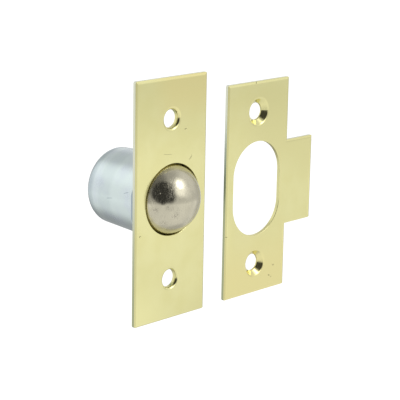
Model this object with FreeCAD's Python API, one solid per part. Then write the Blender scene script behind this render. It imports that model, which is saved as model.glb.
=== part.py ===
import math
import os

import FreeCAD
import Part

# Ball catch for a door: a pressed face plate that holds a sprung ball in a drawn barrel,
# and the strike plate that the ball snaps into.
# Millimetres. The origin is the centre of the face plate's back, where it seats on the door's edge.
# X runs across the plates, +Y runs into the door, and +Z is up. Both plates seat on the plane y = 0.

# Ball and its seat, the rear edge of the hole in the face plate, which is a little wider at the front
ball_dia = 19.3
ball_travel = 6.3
seat_lap = 0.228
seat_gap = 0.06
seat_flare = 0.13
seat_edge_r = 0.12

# The ball and its barrel stand a little towards the strike plate from the face plate's middle
catch_x = 0.6

# Compression spring between the barrel's floor and the ball
spring_wire = 1.0
spring_inset = 3.45
spring_turns = 4.0
spring_closed_turns = 0.75
spring_closed_gap = 0.05
spring_end_gap = 0.05
spring_spare = 0.11

# Barrel: one drawn cup with a flange at its mouth, trimmed to the face plate's width
barrel_wall = 0.7
barrel_ball_gap = 0.85
barrel_taper = 1.0
barrel_rear_r = 2.5
barrel_bend_r = 0.4
flange_reach = 2.1
flange_side_inset = 0.1

# Face plate blank
face_side_land = 1.3
face_h = 64.2
face_t = 1.0
face_corner_r = 0.5
face_roll_w = 0.8
face_roll_depth = 0.22

# Face plate screw holes: plunged through the sheet, so each has a rounded entry and a short collar
face_screw_spacing = 42.5
face_throat_r = 2.37
face_entry_r = 0.9
face_collar_wall = 0.6
face_collar_stand = 0.5
face_collar_root_r = 0.3
face_collar_edge_r = 0.15

# Slot in the strike plate, a little narrower than the ball that snaps into it
slot_ball_lap = 0.45
slot_h = 26.4
slot_edge_r = 0.12

# Strike plate blank, beside the catch
strike_side_land = 2.8
strike_h = 59.4
strike_t = 1.0
strike_corner_r = 0.5
strike_roll_w = 0.8
strike_roll_depth = 0.22
strike_side_gap = 7.95
strike_drop = 2.25

# Lip on the strike plate's outer side
lip_reach = 10.4
lip_h = 24.0
lip_corner_r = 0.5

# Strike plate screw holes: dimpled for countersunk heads
strike_screw_spacing = 42.6
strike_throat_r = 2.33
strike_mouth_r = 3.75
strike_cone_depth = 1.35
strike_shoulder_r = 0.8
strike_throat_edge_r = 0.25
strike_dimple_stand = 0.75
strike_dimple_wall = 0.8
strike_dimple_root_r = 0.5

# How finely the spring's path is drawn, how far a cut runs past the sheet,
# and the least straight run between two arcs that is drawn at all
spring_steps_per_turn = 16
spring_blend_steps = 3
cut_overrun = 1.0
shortest_run = 0.000001

# Sizes that follow from the ones above
ball_r = ball_dia / 2
ball_hole_r = ball_r - seat_lap
ball_y = math.sqrt((ball_r + seat_gap) ** 2 - ball_hole_r ** 2)
barrel_mouth_r = ball_r + barrel_ball_gap + barrel_wall
flange_r = barrel_mouth_r + flange_reach
face_w = 2 * (barrel_mouth_r + face_side_land)
slot_w = ball_dia - 2 * slot_ball_lap
strike_w = slot_w + 2 * strike_side_land
strike_x = face_w / 2 + strike_side_gap + strike_w / 2
strike_z = -strike_drop

# The spring's front coil bears on the ball. The barrel is deep enough to press the ball in by its
# full travel, with the coils closed up and a little to spare.
spring_mean_r = ball_r - spring_inset
coil_clear = spring_wire / 2 + spring_end_gap
spring_front_y = ball_y + math.sqrt((ball_r + coil_clear) ** 2 - spring_mean_r ** 2)
spring_rear_y = spring_front_y + ball_travel + spring_turns * spring_wire + spring_spare
barrel_floor_y = spring_rear_y + coil_clear
barrel_length = barrel_floor_y + barrel_wall


def point(x, y, z):
    return FreeCAD.Vector(x, y, z)


def rounded_face(corners, radii):
    """A flat face through the corners, with an arc of the given radius at each corner."""
    count = len(corners)
    starts = list(corners)
    finishes = list(corners)
    arcs = [None] * count
    for i, corner in enumerate(corners):
        if radii[i] == 0:
            continue
        to_last = (corners[i - 1] - corner).normalize()
        to_next = (corners[(i + 1) % count] - corner).normalize()
        half = to_last.getAngle(to_next) / 2
        run = radii[i] / math.tan(half)
        starts[i] = corner + to_last * run
        finishes[i] = corner + to_next * run
        inward = (to_last + to_next).normalize()
        middle = corner + inward * (radii[i] / math.sin(half) - radii[i])
        arcs[i] = Part.Arc(starts[i], middle, finishes[i]).toShape()
    edges = []
    for i in range(count):
        if arcs[i]:
            edges.append(arcs[i])
        run_to = starts[(i + 1) % count]
        if finishes[i].distanceToPoint(run_to) > shortest_run:
            edges.append(Part.LineSegment(finishes[i], run_to).toShape())
    return Part.Face(Part.Wire(edges))


def turned(section, radii, x, z):
    """A solid of revolution about the line through (x, z) along Y, from a section in radius and depth."""
    corners = [point(x + r, y, z) for r, y in section]
    return rounded_face(corners, radii).revolve(point(x, 0, z), point(0, 1, 0), 360)


def front_face(plate):
    """The flat front of a plate is the face that lies wholly ahead of the others."""
    return min(plate.Faces, key=lambda face: face.BoundBox.YMax)


def rolled_strip(low, high, thickness, roll_w, roll_depth, place, run):
    """An endless strip of sheet between two edges that the punch has rolled over at the front."""
    bend_r = (roll_w ** 2 + roll_depth ** 2) / (2 * roll_depth)
    half_bend = math.asin(roll_w / bend_r) / 2
    mid_w = roll_w - bend_r * math.sin(half_bend)
    mid_y = -thickness + bend_r * (1 - math.cos(half_bend))
    shoulder_y = roll_depth - thickness
    low_back = place(low, 0)
    low_side = place(low, shoulder_y)
    low_front = place(low + roll_w, -thickness)
    high_front = place(high - roll_w, -thickness)
    high_side = place(high, shoulder_y)
    high_back = place(high, 0)
    edges = [
        Part.LineSegment(low_back, low_side).toShape(),
        Part.Arc(low_side, place(low + mid_w, mid_y), low_front).toShape(),
        Part.LineSegment(low_front, high_front).toShape(),
        Part.Arc(high_front, place(high - mid_w, mid_y), high_side).toShape(),
        Part.LineSegment(high_side, high_back).toShape(),
        Part.LineSegment(high_back, low_back).toShape(),
    ]
    return Part.Face(Part.Wire(edges)).extrude(run)


def rolled_sheet(left, right, low, high, thickness, roll_w, roll_depth):
    """A rectangle of sheet with all four front edges rolled over."""
    upright = rolled_strip(
        left, right, thickness, roll_w, roll_depth, lambda x, y: point(x, y, low), point(0, 0, high - low)
    )
    level = rolled_strip(
        low, high, thickness, roll_w, roll_depth, lambda z, y: point(left, y, z), point(right - left, 0, 0)
    )
    return upright.common(level)


def trimmed(sheet, outline, radii, thickness):
    """A sheet cut to an outline with rounded corners."""
    corners = [point(x, -thickness, z) for x, z in outline]
    return sheet.common(rounded_face(corners, radii).extrude(point(0, thickness, 0))).removeSplitter()


def entry_bore(bore_r, entry_r, thickness, back_y, x, z):
    """What a punch takes out of the sheet: a plain bore with a rounded entry at the front."""
    mouth_r = bore_r + entry_r
    ahead_y = -thickness - cut_overrun
    behind_y = back_y + cut_overrun
    section = [
        (0, ahead_y),
        (mouth_r, ahead_y),
        (mouth_r, -thickness),
        (bore_r, -thickness),
        (bore_r, behind_y),
        (0, behind_y),
    ]
    return turned(section, [0, 0, 0, entry_r, 0, 0], x, z)


def coned_bore(mouth_r, bore_r, cone_depth, mouth_edge_r, bore_edge_r, thickness, back_y, x, z):
    """What a coned punch takes out of the sheet, with its mouth and its throat rounded."""
    half_turn = math.atan((mouth_r - bore_r) / cone_depth) / 2
    lead_r = mouth_r + mouth_edge_r * math.tan(math.pi / 4 - half_turn)
    ahead_y = -thickness - cut_overrun
    behind_y = back_y + cut_overrun
    section = [
        (0, ahead_y),
        (lead_r, ahead_y),
        (lead_r, -thickness),
        (mouth_r, -thickness),
        (bore_r, cone_depth - thickness),
        (bore_r, behind_y),
        (0, behind_y),
    ]
    return turned(section, [0, 0, 0, mouth_edge_r, bore_edge_r, 0, 0], x, z)


def plunged_hole(plate, x, z):
    """A screw hole drawn through the face plate: rounded entry, plain throat, collar behind."""
    collar_r = face_throat_r + face_collar_wall
    root_r = collar_r + 2 * face_collar_root_r
    section = [
        (0, -face_t / 2),
        (root_r, -face_t / 2),
        (root_r, 0),
        (collar_r, 0),
        (collar_r, face_collar_stand),
        (0, face_collar_stand),
    ]
    collar = turned(section, [0, 0, 0, face_collar_root_r, face_collar_edge_r, 0], x, z)
    bore = entry_bore(face_throat_r, face_entry_r, face_t, face_collar_stand, x, z)
    return plate.fuse(collar).cut(bore)


def dimpled_hole(plate, x, z):
    """A screw hole in the strike plate: the sheet is pushed back into a cone for a countersunk head."""
    slope = (strike_mouth_r - strike_throat_r) / strike_cone_depth
    skin = strike_dimple_wall * math.hypot(1, slope)
    root_r = strike_mouth_r + skin - slope * strike_t
    rim_r = root_r - slope * strike_dimple_stand
    skirt_r = root_r + strike_dimple_root_r
    boss_section = [
        (0, -strike_t / 2),
        (skirt_r, -strike_t / 2),
        (skirt_r, 0),
        (root_r, 0),
        (rim_r, strike_dimple_stand),
        (0, strike_dimple_stand),
    ]
    boss = turned(boss_section, [0, 0, 0, strike_dimple_root_r, 0, 0], x, z)
    cone = coned_bore(
        strike_mouth_r,
        strike_throat_r,
        strike_cone_depth,
        strike_shoulder_r,
        strike_throat_edge_r,
        strike_t,
        strike_dimple_stand,
        x,
        z,
    )
    return plate.fuse(boss).cut(cone)


def make_face_plate():
    half_w = face_w / 2
    half_h = face_h / 2
    outline = [(-half_w, -half_h), (half_w, -half_h), (half_w, half_h), (-half_w, half_h)]
    sheet = rolled_sheet(-half_w, half_w, -half_h, half_h, face_t, face_roll_w, face_roll_depth)
    plate = trimmed(sheet, outline, [face_corner_r] * len(outline), face_t)
    seat_mouth_r = ball_hole_r + seat_flare
    plate = plate.cut(coned_bore(seat_mouth_r, ball_hole_r, face_t, seat_edge_r, 0, face_t, 0, catch_x, 0))
    for side in (1, -1):
        plate = plunged_hole(plate, 0, side * face_screw_spacing / 2)
    return plate.removeSplitter()


def make_ball():
    return Part.makeSphere(ball_r, point(catch_x, ball_y, 0), point(0, 0, 1))


def barrel_outer_r(y):
    return barrel_mouth_r - barrel_taper * y / barrel_length


def make_barrel():
    """The cup's section is one sheet that turns from the flange into the wall and then the floor."""
    lean = math.atan(barrel_taper / barrel_length)
    skin = barrel_wall / math.cos(lean)
    section = [
        (0, barrel_length),
        (barrel_outer_r(barrel_length), barrel_length),
        (barrel_outer_r(barrel_wall), barrel_wall),
        (flange_r, barrel_wall),
        (flange_r, 0),
        (barrel_outer_r(0) - skin, 0),
        (barrel_outer_r(barrel_floor_y) - skin, barrel_floor_y),
        (0, barrel_floor_y),
    ]
    radii = [
        0,
        barrel_rear_r,
        barrel_bend_r,
        0,
        0,
        barrel_bend_r + barrel_wall,
        barrel_rear_r - barrel_wall,
        0,
    ]
    cup = turned(section, radii, catch_x, 0)
    trim_w = face_w - 2 * flange_side_inset
    trim_h = 2 * (flange_r + cut_overrun)
    corner = point(-trim_w / 2, -cut_overrun, -trim_h / 2)
    return cup.common(Part.makeBox(trim_w, barrel_length + 2 * cut_overrun, trim_h, corner))


def spring_rise(turn):
    """How far along its axis the wire has climbed after so many turns, from the barrel's floor."""
    closed_pitch = spring_wire + spring_closed_gap
    active_rise = spring_rear_y - spring_front_y - 2 * spring_closed_turns * closed_pitch
    active_pitch = active_rise / (spring_turns - 2 * spring_closed_turns)
    first = min(turn, spring_closed_turns)
    last = max(turn - (spring_turns - spring_closed_turns), 0)
    return (first + last) * closed_pitch + (turn - first - last) * active_pitch


def make_spring():
    """A closed-ended compression spring, pressed a little between the barrel's floor and the ball."""
    count = int(round(spring_turns * spring_steps_per_turn))
    turns = [spring_turns * i / count for i in range(count + 1)]
    rises = []
    for i in range(count + 1):
        around = range(i - spring_blend_steps, i + spring_blend_steps + 1)
        near = [spring_rise(turns[min(max(k, 0), count)]) for k in around]
        rises.append(sum(near) / len(near))
    path = []
    for turn, rise in zip(turns, rises):
        share = (rise - rises[0]) / (rises[-1] - rises[0])
        angle = 2 * math.pi * turn
        y = spring_rear_y - share * (spring_rear_y - spring_front_y)
        x = catch_x + spring_mean_r * math.cos(angle)
        path.append(point(x, y, spring_mean_r * math.sin(angle)))
    curve = Part.BSplineCurve()
    curve.interpolate(path)
    start = curve.tangent(curve.FirstParameter)[0]
    ring = Part.Wire(Part.makeCircle(spring_wire / 2, path[0], start))
    return Part.Wire(curve.toShape()).makePipeShell([ring], True, True)


def make_slot():
    """The punch for the slot has full round ends and runs through the sheet."""
    end_r = slot_w / 2
    y = -strike_t
    left = strike_x - end_r
    right = strike_x + end_r
    top = strike_z + slot_h / 2 - end_r
    bottom = strike_z - slot_h / 2 + end_r
    upper_left = point(left, y, top)
    upper_right = point(right, y, top)
    lower_right = point(right, y, bottom)
    lower_left = point(left, y, bottom)
    edges = [
        Part.LineSegment(lower_left, upper_left).toShape(),
        Part.Arc(upper_left, point(strike_x, y, top + end_r), upper_right).toShape(),
        Part.LineSegment(upper_right, lower_right).toShape(),
        Part.Arc(lower_right, point(strike_x, y, bottom - end_r), lower_left).toShape(),
    ]
    return Part.Face(Part.Wire(edges)).extrude(point(0, strike_t + cut_overrun, 0))


def make_strike_plate():
    left = strike_x - strike_w / 2
    right = strike_x + strike_w / 2
    tip = right + lip_reach
    low = strike_z - strike_h / 2
    high = strike_z + strike_h / 2
    lip_low = strike_z - lip_h / 2
    lip_high = strike_z + lip_h / 2
    outline = [
        (left, low),
        (right, low),
        (right, lip_low),
        (tip, lip_low),
        (tip, lip_high),
        (right, lip_high),
        (right, high),
        (left, high),
    ]
    radii = [
        strike_corner_r,
        strike_corner_r,
        0,
        lip_corner_r,
        lip_corner_r,
        0,
        strike_corner_r,
        strike_corner_r,
    ]
    sheet = rolled_sheet(left, right, low, high, strike_t, strike_roll_w, strike_roll_depth)
    lip = rolled_sheet(strike_x, tip, lip_low, lip_high, strike_t, strike_roll_w, strike_roll_depth)
    plate = trimmed(sheet.fuse(lip), outline, radii, strike_t)
    plate = plate.cut(make_slot())
    front = front_face(plate)
    slot_rims = [wire for wire in front.Wires if not wire.isSame(front.OuterWire)]
    plate = plate.makeFillet(slot_edge_r, slot_rims[0].Edges)
    for side in (1, -1):
        plate = dimpled_hole(plate, strike_x, strike_z + side * strike_screw_spacing / 2)
    return plate.removeSplitter()


def solid_of(shape):
    """The single solid in a shape, checked before it is written."""
    solids = shape.Solids
    if len(solids) != 1 or not solids[0].isValid():
        raise ValueError("expected one sound solid, found %d" % len(solids))
    return solids[0]


parts = {
    "face_plate": make_face_plate(),
    "ball": make_ball(),
    "barrel": make_barrel(),
    "coil_spring": make_spring(),
    "strike_plate": make_strike_plate(),
}

os.makedirs("parts", exist_ok=True)
for name, shape in parts.items():
    solid = solid_of(shape)
    solid.exportStep("parts/%s.step" % name)
    box = solid.BoundBox
    print(
        "%-13s %9.1f mm3  X %.2f to %.2f  Y %.2f to %.2f  Z %.2f to %.2f"
        % (name, solid.Volume, box.XMin, box.XMax, box.YMin, box.YMax, box.ZMin, box.ZMax)
    )
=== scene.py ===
# Looks for the ball catch and its strike plate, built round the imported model
import bmesh
import bpy
import math
from mathutils import Matrix, Vector


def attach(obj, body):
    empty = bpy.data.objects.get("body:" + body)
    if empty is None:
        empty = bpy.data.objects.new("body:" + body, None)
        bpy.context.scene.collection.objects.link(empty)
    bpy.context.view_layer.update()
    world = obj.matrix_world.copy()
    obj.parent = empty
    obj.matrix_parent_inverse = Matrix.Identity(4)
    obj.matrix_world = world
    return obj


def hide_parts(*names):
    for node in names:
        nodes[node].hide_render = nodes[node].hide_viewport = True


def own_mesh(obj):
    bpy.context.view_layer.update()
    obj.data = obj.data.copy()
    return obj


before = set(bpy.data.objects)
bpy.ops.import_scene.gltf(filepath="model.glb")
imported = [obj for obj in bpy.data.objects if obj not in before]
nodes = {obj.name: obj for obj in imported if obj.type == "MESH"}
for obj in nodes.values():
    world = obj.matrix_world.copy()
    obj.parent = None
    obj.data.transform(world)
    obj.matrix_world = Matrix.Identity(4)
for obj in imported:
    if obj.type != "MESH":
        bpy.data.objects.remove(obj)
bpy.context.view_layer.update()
print("frame loaded:", ", ".join(sorted(nodes)))


# One socket of a node tree. Sums on it add Math nodes, and make() adds any other node.
class Wire:
    def __init__(self, tree, socket=None):
        self.tree = tree
        self.socket = socket

    def make(self, kind, settings, inputs, output=0):
        node = self.tree.nodes.new(kind)
        for name, value in settings.items():
            if name == "stops":
                setStops(node.color_ramp.elements, value)
            else:
                setattr(node, name, value)
        for key, value in inputs.items():
            if isinstance(value, Wire):
                self.tree.links.new(value.socket, node.inputs[key])
            else:
                node.inputs[key].default_value = value
        return Wire(self.tree, node.outputs[output] if node.outputs else None)

    def maths(self, operation, other, clamp=False, reflected=False):
        values = {0: other, 1: self} if reflected else {0: self, 1: other}
        return self.make("ShaderNodeMath", {"operation": operation, "use_clamp": clamp}, values)

    def __add__(self, other):
        return self.maths("ADD", other)

    def __radd__(self, other):
        return self.maths("ADD", other, reflected=True)

    def __sub__(self, other):
        return self.maths("SUBTRACT", other)

    def __rsub__(self, other):
        return self.maths("SUBTRACT", other, reflected=True)

    def __mul__(self, other):
        return self.maths("MULTIPLY", other)

    def __rmul__(self, other):
        return self.maths("MULTIPLY", other, reflected=True)

    def atLeast(self, other):
        return self.maths("MAXIMUM", other)

    def size(self):
        return self.make("ShaderNodeMath", {"operation": "ABSOLUTE"}, {0: self})

    # 0 below low, 1 above high, and a smooth step between
    def step(self, low, high):
        inputs = {"Value": self, "From Min": low, "From Max": high}
        return self.make("ShaderNodeMapRange", {"interpolation_type": "SMOOTHSTEP"}, inputs)

    def vector(self, operation, other, output=0):
        return self.make("ShaderNodeVectorMath", {"operation": operation}, {0: self, 1: other}, output)

    def dot(self, other):
        return self.vector("DOT_PRODUCT", other, "Value")

    def length(self):
        return self.make("ShaderNodeVectorMath", {"operation": "LENGTH"}, {0: self}, "Value")

    def normalized(self):
        return self.make("ShaderNodeVectorMath", {"operation": "NORMALIZE"}, {0: self})

    def part(self, axis):
        return self.make("ShaderNodeSeparateXYZ", {}, {0: self}, axis)

    # The pattern's scale is given for each axis, so that it can be drawn out along one of them
    def stretched(self, scale, turn):
        return self.make("ShaderNodeMapping", {}, {"Vector": self, "Rotation": turn, "Scale": scale})

    def noise(self, scale, detail):
        inputs = {"Vector": self, "Scale": scale, "Detail": detail}
        return self.make("ShaderNodeTexNoise", {}, inputs, "Fac")

    # The second value or colour where this mask is 1, the first where it is 0
    def blend(self, first, second):
        inputs = {"Factor": self, "A": first, "B": second}
        return self.make("ShaderNodeMix", {"data_type": "RGBA"}, inputs, "Result")


def setStops(elements, stops):
    for index, (place, level) in enumerate(stops):
        element = elements[index] if index < len(elements) else elements.new(place)
        element.position = place
        element.color = (level, level, level, 1.0)


def newMaterial(name):
    material = bpy.data.materials.new(name)
    material.use_nodes = True
    material.node_tree.nodes.clear()
    shade = Wire(material.node_tree)
    coords = shade.make("ShaderNodeTexCoord", {}, {}, "Object")
    return material, shade, coords


def finishMaterial(shade, surface):
    shade.make("ShaderNodeOutputMaterial", {}, {"Surface": surface})


# The relief is in metres
def metal(shade, colour, roughness, relief):
    bump = shade.make("ShaderNodeBump", {}, {"Height": relief, "Distance": 1.0, "Strength": 1.0}, "Normal")
    inputs = {"Base Color": colour, "Metallic": 1.0, "Roughness": roughness, "Normal": bump}
    return shade.make("ShaderNodeBsdfPrincipled", {}, inputs)


def rgb(red, green, blue):
    return (red, green, blue, 1.0)


# How far each point is from the line between two points, with both ends rounded
def distanceToLine(coords, start, end):
    start = Vector(start)
    along = Vector(end) - start
    fromStart = coords.vector("SUBTRACT", start)
    if along.length == 0:
        return fromStart.length()
    share = fromStart.dot(along / along.length_squared).maths("ADD", 0.0, clamp=True)
    return fromStart.vector("SUBTRACT", share.vector("MULTIPLY", along)).length()


# 1 near any of the lines listed, each with its own reach, and 0 beyond it. Softness is the share of the
# reach over which it fades.
def nearLines(coords, lines, softness):
    mask = None
    for start, end, reach in lines:
        near = 1 - distanceToLine(coords, start, end).step(reach * (1 - softness), reach)
        mask = near if mask is None else mask.atLeast(near)
    return mask


# A line whose two ends are one place
def spot(place, reach):
    return (place, place, reach)


# Lines that were given by X and Z alone, all laid at one depth in Y
def atDepth(lines, depth):
    return [((x1, depth, z1), (x2, depth, z2), reach) for (x1, z1), (x2, z2), reach in lines]


# In this and the other finishes, a noise is given by its scale and detail, and levels are where a
# smooth step starts and ends
brass = {
    "tone": rgb(0.81, 0.775, 0.40),
    "cloudTone": rgb(0.785, 0.745, 0.365),
    # The pale tone is painted light, and the two others are painted shade and a painted warm tint, where
    # the plates' reflections are brighter, darker or warmer
    "paintedLightTones": {
        "pale": rgb(0.885, 0.845, 0.43),
        "paintedShade": rgb(0.755, 0.715, 0.355),
        "paintedWarmTint": rgb(0.825, 0.75, 0.36),
    },
    # The marks' tone also serves as painted shade on the rolled edges that face left
    "markAndPaintedShadeTone": rgb(0.36, 0.34, 0.16),
    "bareTone": rgb(0.75, 0.765, 0.62),
    # Painted shade on the lower cut edges
    "edgeShadeTone": rgb(0.42, 0.45, 0.27),
    "cloudNoise": (160.0, 3.0),
    "cloudLevels": (0.3, 0.7),
    "edgeLevels": (0.1, 0.35),
    "slopeLevels": (0.8, 0.98),
    "shadedRollLevels": (-0.3, -0.04),
    "paintedLightFade": 0.8,
    "holeFade": 0.1,
    "markFade": 0.6,
    "markStrength": 0.6,
    "rollShadeStrength": 0.35,
    "roughness": 0.13,
    "grainNoise": (2500.0, 2.0),
    "grainRoughness": 0.08,
    "sideRoughness": 0.2,
    "markRoughness": 0.3,
    "holeRoughness": 0.03,
    "waveNoise": (110.0, 1.0),
    "waviness": 0.000007,
    "markDepth": 0.00008,
    "backY": 0.0,
    "frontY": -0.001,
}

# For each plate: the holes that were punched before plating, so that their walls are brass too, the
# nicks and scratches, the areas of painted light, painted shade and a painted warm tint that stand in
# for its reflections, and the heights between which its cut edges darken with painted shade. Each hole,
# mark and area is a line by X and Z, with both ends and its reach.
facePlate = {
    "holes": [
        spot((0.0006, 0), 0.0108),
        spot((0, 0.02125), 0.005),
        spot((0, -0.02125), 0.005),
    ],
    "marks": [
        ((0.0048, 0.0180), (0.0051, 0.0180), 0.00025),
        ((0.0064, 0.0098), (0.0072, 0.0105), 0.00009),
        ((0.0072, 0.0105), (0.0072, 0.0109), 0.00005),
        ((-0.0108, -0.0079), (-0.0107, -0.0079), 0.00028),
        ((-0.0027, 0.0124), (0.0001, 0.0120), 0.00002),
    ],
    # Painted light at the lower left, painted shade at the lower right and a painted warm tint at the top
    "pale": [spot((-0.0145, -0.034), 0.018)],
    "paintedShade": [spot((0.0145, -0.034), 0.013)],
    "paintedWarmTint": [((0.0030, 0.030), (0.0090, 0.030), 0.012)],
    "paintedEdgeShade": (0.012, -0.025),
}
strikePlate = {
    "holes": [
        ((0.03245, 0.00175), (0.03245, -0.00625), 0.0105),
        spot((0.03245, 0.01905), 0.006),
        spot((0.03245, -0.02355), 0.006),
    ],
    "marks": [
        ((0.0400, -0.0255), (0.0402, -0.0256), 0.00026),
        ((0.0383, -0.0282), (0.0386, -0.0283), 0.00022),
        ((0.0392, -0.0288), (0.0393, -0.0288), 0.00018),
        ((0.0207, -0.0140), (0.0210, -0.0141), 0.00026),
        ((0.0313, 0.0270), (0.0315, 0.0273), 0.0003),
    ],
    # Painted light at the left, painted shade at the upper right and the bottom, and a painted warm tint
    # along the bottom
    "pale": [((0.0165, -0.0125), (0.0165, -0.0200), 0.0085)],
    "paintedShade": [
        ((0.0380, 0.0160), (0.0530, 0.0080), 0.015),
        ((0.0290, -0.0370), (0.0410, -0.0370), 0.011),
    ],
    "paintedWarmTint": [((0.0240, -0.0330), (0.0400, -0.0330), 0.024)],
    "paintedEdgeShade": (0.014, -0.001),
}


# Plating on the faces and in the holes, bare steel on the cut edges
def makeBrass(name, plate):
    material, shade, coords = newMaterial(name)
    normal = shade.make("ShaderNodeTexCoord", {}, {}, "Normal")
    facing = normal.part(1).size()
    sideways = 1 - facing.step(*brass["edgeLevels"])
    punched = nearLines(coords, atDepth(plate["holes"], brass["backY"]), brass["holeFade"])
    sloping = punched * (1 - facing.step(*brass["slopeLevels"]))
    bare = sideways * (1 - punched)
    # Painted shade: the rolled edges that face left are darkened towards the marks' tone
    leftRollPaintedShade = (1 - normal.part(0).step(*brass["shadedRollLevels"])) * (1 - punched)
    marked = nearLines(coords, atDepth(plate["marks"], brass["frontY"]), brass["markFade"])
    cloud = coords.noise(*brass["cloudNoise"]).step(*brass["cloudLevels"])
    tone = cloud.blend(brass["tone"], brass["cloudTone"])
    # Painted light and shade: areas made paler, darker or warmer where the plate's reflections are
    for paintedArea, paintedTone in brass["paintedLightTones"].items():
        mask = nearLines(coords, atDepth(plate[paintedArea], brass["frontY"]), brass["paintedLightFade"])
        tone = mask.blend(tone, paintedTone)
    # This mask holds the nicks and scratches, and the painted shade on the left rolled edges
    worn = (marked * brass["markStrength"]).atLeast(leftRollPaintedShade * brass["rollShadeStrength"])
    plated = worn.blend(tone, brass["markAndPaintedShadeTone"])
    # Painted shade: the cut edges darken from the upper of these heights down to the lower one
    shadeFrom, shadeTo = plate["paintedEdgeShade"]
    paintedEdgeShade = 1 - coords.part(2).step(shadeTo, shadeFrom)
    colour = bare.blend(plated, paintedEdgeShade.blend(brass["bareTone"], brass["edgeShadeTone"]))
    grain = coords.noise(*brass["grainNoise"])
    roughness = brass["roughness"] + (grain - 0.5) * brass["grainRoughness"]
    roughness = roughness + sideways * brass["sideRoughness"] + marked * brass["markRoughness"]
    roughness = roughness + sloping * brass["holeRoughness"]
    relief = coords.noise(*brass["waveNoise"]) * brass["waviness"] - marked * brass["markDepth"]
    finishMaterial(shade, metal(shade, colour, roughness, relief))
    return material


# The marks are two scuffs, and a painted shadow line along the flange's side. The draw band is darker
# and the rear corner has painted shade between these depths: from nothing to full, and from full to
# nothing.
zinc = {
    "tone": rgb(0.67, 0.76, 0.745),
    "blueTone": rgb(0.64, 0.71, 0.75),
    "scuffAndShadeTone": rgb(0.22, 0.28, 0.33),
    "cloudNoise": (150.0, 3.0),
    "cloudLevels": (0.45, 0.7),
    "drawBand": (0.0105, 0.0125, 0.0155, 0.017),
    "drawDarkening": 0.11,
    "corner": (0.0181, 0.0197, 0.0213, 0.022),
    # Painted shade on the rear corner
    "cornerPaintedShade": 0.36,
    "marks": [
        ((-0.01002, 0.01256, -0.00043), (-0.01012, 0.0105, -0.00002), 0.00010),
        ((-0.01013, 0.00588, 0.00207), (-0.01008, 0.00441, 0.00261), 0.00009),
        # Painted shadow line where the flange's side meets the barrel
        ((-0.0124, 0.0004, 0.0055), (-0.0124, 0.0004, -0.0092), 0.0006),
    ],
    "markFade": 0.6,
    "markStrength": 0.7,
    "roughness": 0.25,
    "cloudRoughness": 0.16,
    "waveNoise": (180.0, 0.0),
    "waviness": 0.00002,
}


# 1 between the two middle levels, fading to 0 at the outer two
def band(wire, levels):
    return wire.step(levels[0], levels[1]) * (1 - wire.step(levels[2], levels[3]))


def makeZinc():
    material, shade, coords = newMaterial("bluishZincPlating")
    cloud = coords.noise(*zinc["cloudNoise"])
    plated = cloud.step(*zinc["cloudLevels"]).blend(zinc["tone"], zinc["blueTone"])
    depth = coords.part(1)
    # The draw band is darker; the rear corner below is painted shade
    darkening = band(depth, zinc["drawBand"]) * zinc["drawDarkening"]
    darkening = darkening + band(depth, zinc["corner"]) * zinc["cornerPaintedShade"]
    marked = nearLines(coords, zinc["marks"], zinc["markFade"]) * zinc["markStrength"]
    # The scuffs are marks on the zinc; the flange line and the rear corner are painted shade
    colour = marked.atLeast(darkening).blend(plated, zinc["scuffAndShadeTone"])
    roughness = zinc["roughness"] + (cloud - 0.5) * zinc["cloudRoughness"]
    relief = coords.noise(*zinc["waveNoise"]) * zinc["waviness"]
    finishMaterial(shade, metal(shade, colour, roughness, relief))
    return material


# The scratches gather where the ball is marked. The rubs are longer, and the pit is one deeper dent.
ballSteel = {
    "tone": rgb(0.605, 0.57, 0.44),
    "wornTone": rgb(0.555, 0.525, 0.41),
    "scratchTone": rgb(0.30, 0.275, 0.22),
    "uprightStretch": (1.0, 1.0, 0.1),
    "uprightTurn": (0.0, 0.25, 0.0),
    "uprightNoise": (1500.0, 1.0),
    "slantedStretch": (1.0, 1.0, 0.15),
    "slantedTurn": (0.6, 0.0, 0.9),
    "slantedNoise": (1300.0, 1.0),
    "streakWidth": 0.02,
    "streakStrength": 0.1,
    "wornNoise": (330.0, 2.0),
    "wornLevels": (0.48, 0.62),
    "wornStrength": 0.5,
    "curlNoise": (1100.0, 1.0),
    "curlWidth": 0.06,
    "curlStrength": 0.7,
    "roughness": 0.13,
    "wornRoughness": 0.06,
    "streakRoughness": 0.2,
    "rubRoughness": 0.22,
    "scratchDepth": 0.000006,
    "pitDepth": 0.00006,
    "marks": [
        spot((-0.0074, -0.0030, -0.0011), 0.0013),
        spot((-0.0032, -0.0060, -0.0028), 0.0015),
        spot((-0.0052, -0.0037, -0.0048), 0.0013),
        spot((-0.0052, -0.0053, -0.0004), 0.0007),
        spot((0.0011, -0.0067, 0.0033), 0.0005),
    ],
    "markFade": 0.7,
    "rubs": [
        ((-0.0044, -0.0029, 0.0063), (-0.0054, -0.0045, 0.0031), 0.00022),
        ((-0.0041, -0.0041, 0.0055), (-0.0044, -0.0055, 0.0024), 0.0003),
        ((-0.0060, -0.0022, 0.0054), (-0.0069, -0.0034, 0.0016), 0.0002),
    ],
    "pit": [spot((-0.0063, -0.0036, 0.0032), 0.00022)],
    "dentFade": 0.9,
}


# Thin curved lines that follow the level lines of a noise
def contours(pattern, width):
    return 1 - (pattern - 0.5).size().step(0.0, width)


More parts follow.
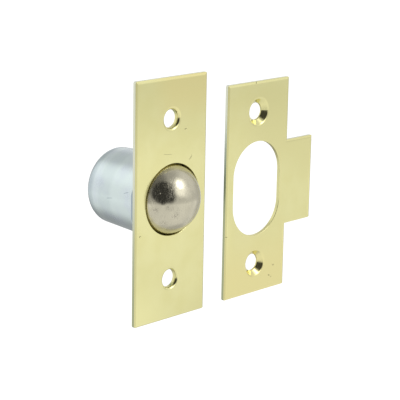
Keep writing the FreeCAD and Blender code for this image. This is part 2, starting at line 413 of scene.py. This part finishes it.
def makeBallSteel():
    material, shade, coords = newMaterial("polishedBallSteel")
    steel = ballSteel
    upright = coords.stretched(steel["uprightStretch"], steel["uprightTurn"]).noise(*steel["uprightNoise"])
    slanted = coords.stretched(steel["slantedStretch"], steel["slantedTurn"]).noise(*steel["slantedNoise"])
    worn = coords.noise(*steel["wornNoise"]).step(*steel["wornLevels"])
    gathered = nearLines(coords, steel["marks"], steel["markFade"])
    curls = contours(coords.noise(*steel["curlNoise"]), steel["curlWidth"]) * gathered
    streaks = contours(upright, steel["streakWidth"])
    streaks = streaks.atLeast(contours(slanted, steel["streakWidth"]) * worn)
    colour = (worn * steel["wornStrength"]).blend(steel["tone"], steel["wornTone"])
    scratched = curls * steel["curlStrength"] + streaks * steel["streakStrength"]
    colour = scratched.blend(colour, steel["scratchTone"])
    rubbed = nearLines(coords, steel["rubs"], steel["dentFade"])
    pit = nearLines(coords, steel["pit"], steel["dentFade"])
    roughness = steel["roughness"] + worn * steel["wornRoughness"] + streaks * steel["streakRoughness"]
    roughness = roughness + rubbed * steel["rubRoughness"]
    relief = (streaks + curls) * -steel["scratchDepth"] - pit * steel["pitDepth"]
    finishMaterial(shade, metal(shade, colour, roughness, relief))
    return material


def meshObject(name, bm):
    mesh = bpy.data.meshes.new(name)
    bm.to_mesh(mesh)
    bm.free()
    made = bpy.data.objects.new(name, mesh)
    bpy.context.scene.collection.objects.link(made)
    return made


springWire = {
    "tone": rgb(0.56, 0.57, 0.59),
    "darkTone": rgb(0.48, 0.49, 0.51),
    "streakNoise": (800.0, 3.0),
    "streakLevels": (0.35, 0.65),
    "roughness": 0.3,
    "streakRoughness": 0.1,
    "relief": 0.00001,
    "wireSides": 16,
    "wireRadius": 0.0005,
    "centreX": 0.0006,
    "meanRadius": 0.0062,
    "rearY": 0.020857,
    "frontY": 0.010447,
    "turns": 4.0,
    "closedTurns": 0.75,
    "closedPitch": 0.00105,
    "stepsPerTurn": 32,
    "travel": 0.0063,
}


def makeSpringSteel():
    material, shade, coords = newMaterial("drawnSpringWire")
    streak = coords.noise(*springWire["streakNoise"])
    colour = streak.step(*springWire["streakLevels"]).blend(springWire["tone"], springWire["darkTone"])
    roughness = springWire["roughness"] + (streak - 0.5) * springWire["streakRoughness"]
    finishMaterial(shade, metal(shade, colour, roughness, streak * springWire["relief"]))
    return material


# A coil with closed ends, wound from the barrel's floor to the ball. It moves as a whole with the spring's
# end.
def makeSpring():
    wire = springWire
    length = wire["rearY"] - wire["frontY"]
    openTurns = wire["turns"] - 2 * wire["closedTurns"]
    openPitch = (length - 2 * wire["closedTurns"] * wire["closedPitch"]) / openTurns
    closedEnd = (wire["closedTurns"], wire["closedPitch"])
    bm = bmesh.new()
    bmesh.ops.create_circle(bm, cap_ends=False, radius=wire["wireRadius"], segments=wire["wireSides"])
    place = (wire["centreX"] + wire["meanRadius"], wire["rearY"], 0.0)
    bmesh.ops.translate(bm, verts=bm.verts, vec=place)
    ring = list(bm.verts) + list(bm.edges)
    for turns, pitch in (closedEnd, (openTurns, openPitch), closedEnd):
        ring = bmesh.ops.spin(
            bm,
            geom=ring,
            cent=(wire["centreX"], 0.0, 0.0),
            axis=(0.0, -1.0, 0.0),
            dvec=(0.0, -pitch / wire["stepsPerTurn"], 0.0),
            angle=math.tau * turns,
            steps=round(turns * wire["stepsPerTurn"]),
        )["geom_last"]
    bmesh.ops.holes_fill(bm, edges=[edge for edge in bm.edges if edge.is_boundary])
    bmesh.ops.recalc_face_normals(bm, faces=bm.faces)
    for face in bm.faces:
        face.smooth = len(face.verts) == 4
    spring = meshObject("compressionSpring", bm)
    spring.data.materials.append(makeSpringSteel())
    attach(spring, "spring_end")
    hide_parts("coil_spring")
    keep = 1 - wire["travel"] / length
    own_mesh(spring)


def dress(node, material):
    slots = nodes[node].data.materials
    slots.clear()
    slots.append(material)


dress("face_plate", makeBrass("faceBrassPlating", facePlate))
dress("strike_plate", makeBrass("strikeBrassPlating", strikePlate))
dress("barrel", makeZinc())
dress("ball", makeBallSteel())
makeSpring()
print("pieces dressed, spring wound")

# A pale floor, and a soft tent round everything that the camera sees through. The floor glows for the
# camera, so that it looks near white and keeps the object's shadow. In mirrors it shows the surroundings
# instead, where some dark cards below the horizon are a painted shadow of the object.
studio = {
    "floorLevel": -0.12,
    "floorReach": 4.0,
    "floorTone": 0.5,
    "floorGlow": 0.78,
    "tentRadius": 3.0,
    "tentColumns": 64,
    "tentRows": 32,
    "skyLight": 0.7,
}

# How light the surroundings are at each height of a line of sight: -1 is straight down and 1 straight up
heightStops = [
    (-1.0, 0.70),
    (-0.96, 0.92),
    (-0.45, 0.90),
    (-0.34, 0.96),
    (-0.30, 1.00),
    (-0.23, 1.05),
    (-0.20, 1.02),
    (-0.17, 0.87),
    (-0.14, 0.77),
    (0.15, 0.68),
    (0.50, 0.60),
    (0.85, 0.56),
    (1.0, 0.50),
]

# The wall behind the floor's far edge starts between these heights
wallFoot = (-0.17, -0.14)

# Soft cards hung round the object: azimuth and elevation, how far the full card and its fade reach
# in degrees, and the card's level. The wall cards end at the wall's foot.
wallCards = [
    {"azimuth": -104, "elevation": 14, "inner": 12, "outer": 34, "level": 0.44},
    {"azimuth": 167, "elevation": 41, "inner": 12, "outer": 32, "level": 0.66},
    {"azimuth": 133, "elevation": 4, "inner": 4, "outer": 32, "level": 0.93},
    {"azimuth": 215, "elevation": 3, "inner": 15, "outer": 42, "level": 0.98},
    {"azimuth": 211, "elevation": 32, "inner": 5, "outer": 26, "level": 1.16},
    {"azimuth": 125, "elevation": 60, "inner": 5, "outer": 26, "level": 0.7},
    {"azimuth": 66, "elevation": 30, "inner": 12, "outer": 36, "level": 0.86},
]
cards = [
    {"azimuth": -62, "elevation": -16, "inner": 4, "outer": 18, "level": 0.84},
    {"azimuth": -30, "elevation": -16, "inner": 4, "outer": 18, "level": 0.84},
    # The next two cards are a painted shadow of the object on the floor behind it, seen only in mirrors
    {"azimuth": 152, "elevation": -41, "inner": 13, "outer": 44, "level": 0.40},
    {"azimuth": 150, "elevation": -12, "inner": 6, "outer": 26, "level": 0.5},
    {"azimuth": 80, "elevation": -46, "inner": 8, "outer": 36, "level": 0.94},
    # Painted shadow of the object on the floor under it, seen only in mirrors
    {"azimuth": 100, "elevation": -66, "inner": 6, "outer": 24, "level": 0.58},
    {"azimuth": 98, "elevation": -20, "inner": 7, "outer": 24, "level": 0.67},
    {"azimuth": 88, "elevation": -2, "inner": 4, "outer": 16, "level": 0.66},
    {"azimuth": 8, "elevation": -36, "inner": 10, "outer": 32, "level": 1.0},
    {"azimuth": -84, "elevation": 63, "inner": 10, "outer": 32, "level": 0.24},
    {"azimuth": -48, "elevation": 28, "inner": 29, "outer": 41, "level": 0.05},
    {"azimuth": -23, "elevation": 11, "inner": 7, "outer": 22, "level": 0.06},
    {"azimuth": -46, "elevation": -3, "inner": 3, "outer": 9, "level": 0.05},
    {"azimuth": 40, "elevation": 12, "inner": 4, "outer": 20, "level": 1.0},
    {"azimuth": 19, "elevation": 27, "inner": 7, "outer": 25, "level": 1.5},
    {"azimuth": 31, "elevation": 41, "inner": 6, "outer": 23, "level": 1.5},
    {"azimuth": 53, "elevation": -16, "inner": 3, "outer": 10, "level": 0.92},
]


# Azimuth 0 is in front of the plates and 90 is to the right of them
def direction(azimuth, elevation):
    a = math.radians(azimuth)
    e = math.radians(elevation)
    return Vector((math.sin(a) * math.cos(e), -math.cos(a) * math.cos(e), math.sin(e)))


def rays(shade, kind):
    return shade.make("ShaderNodeLightPath", {}, {}, kind)


def cardMask(outward, card):
    fade = math.cos(math.radians(card["outer"]))
    full = math.cos(math.radians(card["inner"]))
    return outward.dot(direction(card["azimuth"], card["elevation"])).step(fade, full)


# The level of the surroundings in the direction of a point, as seen from the object. A ramp runs from
# 0 to 1, so the heights are moved to that range.
def surroundings(shade, coords):
    outward = coords.normalized()
    height = (outward.part(2) + 1) * 0.5
    stops = [((place + 1) * 0.5, level) for place, level in heightStops]
    level = shade.make("ShaderNodeValToRGB", {"stops": stops}, {"Fac": height}, "Color")
    wall = outward.part(2).step(*wallFoot)
    for card in wallCards:
        level = level + cardMask(outward, card) * wall * (card["level"] - level)
    for card in cards:
        level = level + cardMask(outward, card) * (card["level"] - level)
    return level


def makeFloor():
    bm = bmesh.new()
    bmesh.ops.create_grid(bm, x_segments=1, y_segments=1, size=studio["floorReach"])
    bmesh.ops.translate(bm, verts=bm.verts, vec=(0.0, 0.0, studio["floorLevel"]))
    floor = meshObject("floor", bm)
    material, shade, coords = newMaterial("paleFloor")
    tone = studio["floorTone"]
    matte = shade.make("ShaderNodeBsdfDiffuse", {}, {"Color": rgb(tone, tone, tone)})
    whitening = rays(shade, "Is Camera Ray") * studio["floorGlow"]
    glow = shade.make("ShaderNodeEmission", {}, {"Color": whitening})
    pale = shade.make("ShaderNodeAddShader", {}, {0: matte, 1: glow})
    mirrored = rays(shade, "Is Glossy Ray").atLeast(rays(shade, "Is Transmission Ray"))
    reflection = shade.make("ShaderNodeEmission", {}, {"Color": surroundings(shade, coords)})
    finishMaterial(shade, shade.make("ShaderNodeMixShader", {}, {0: mirrored, 1: pale, 2: reflection}))
    floor.data.materials.append(material)


def makeTent():
    bm = bmesh.new()
    columns = studio["tentColumns"]
    rows = studio["tentRows"]
    bmesh.ops.create_uvsphere(bm, u_segments=columns, v_segments=rows, radius=studio["tentRadius"])
    tent = meshObject("softTent", bm)
    material, shade, coords = newMaterial("softTent")
    glow = shade.make("ShaderNodeEmission", {}, {"Color": surroundings(shade, coords)})
    finishMaterial(shade, glow)
    tent.data.materials.append(material)
    tent.visible_camera = False


# White to the camera and in mirrors, and dimmer to all else
def makeWorld():
    world = bpy.data.worlds.new("studio")
    bpy.context.scene.world = world
    world.use_nodes = True
    world.node_tree.nodes.clear()
    shade = Wire(world.node_tree)
    mirrored = rays(shade, "Is Glossy Ray").atLeast(rays(shade, "Is Transmission Ray"))
    seen = rays(shade, "Is Camera Ray").atLeast(mirrored)
    sky = seen * (1 - studio["skyLight"]) + studio["skyLight"]
    back = shade.make("ShaderNodeBackground", {}, {"Color": sky})
    shade.make("ShaderNodeOutputWorld", {}, {"Surface": back})


keyLamp = {
    "azimuth": 26,
    "elevation": 41,
    "distance": 0.6,
    "size": 0.25,
    "power": 0.28,
}


# The lamp shines on the frame's origin
def makeLamp(name, lamp):
    light = bpy.data.lights.new(name, "AREA")
    light.shape = "DISK"
    light.size = lamp["size"]
    light.energy = lamp["power"]
    made = bpy.data.objects.new(name, light)
    bpy.context.scene.collection.objects.link(made)
    towards = direction(lamp["azimuth"], lamp["elevation"])
    made.location = towards * lamp["distance"]
    made.rotation_euler = towards.to_track_quat("Z", "Y").to_euler()


cameraPlace = {
    "azimuth": -45.114,
    "elevation": 14.422,
    "roll": 1.037,
    "distance": 0.379196,
    "aim": Vector((0.0052817, -0.0062626, 0.0001128)),
    "sensor": 36.0,
    "lens": 132.4,
    "nearest": 0.01,
}


def makeCamera():
    data = bpy.data.cameras.new("camera")
    data.sensor_width = cameraPlace["sensor"]
    data.lens = cameraPlace["lens"]
    data.clip_start = cameraPlace["nearest"]
    camera = bpy.data.objects.new("camera", data)
    bpy.context.scene.collection.objects.link(camera)
    bpy.context.scene.camera = camera
    back = direction(cameraPlace["azimuth"], cameraPlace["elevation"])
    right = direction(cameraPlace["azimuth"] + 90, 0)
    turn = Matrix((right, back.cross(right), back)).transposed()
    roll = Matrix.Rotation(math.radians(cameraPlace["roll"]), 3, "Z")
    place = Matrix.Translation(cameraPlace["aim"] + back * cameraPlace["distance"])
    camera.matrix_world = place @ (turn @ roll).to_4x4()


makeFloor()
makeTent()
makeWorld()
makeLamp("keyLamp", keyLamp)
makeCamera()
bpy.context.scene.view_settings.view_transform = "Standard"
print("studio ready")
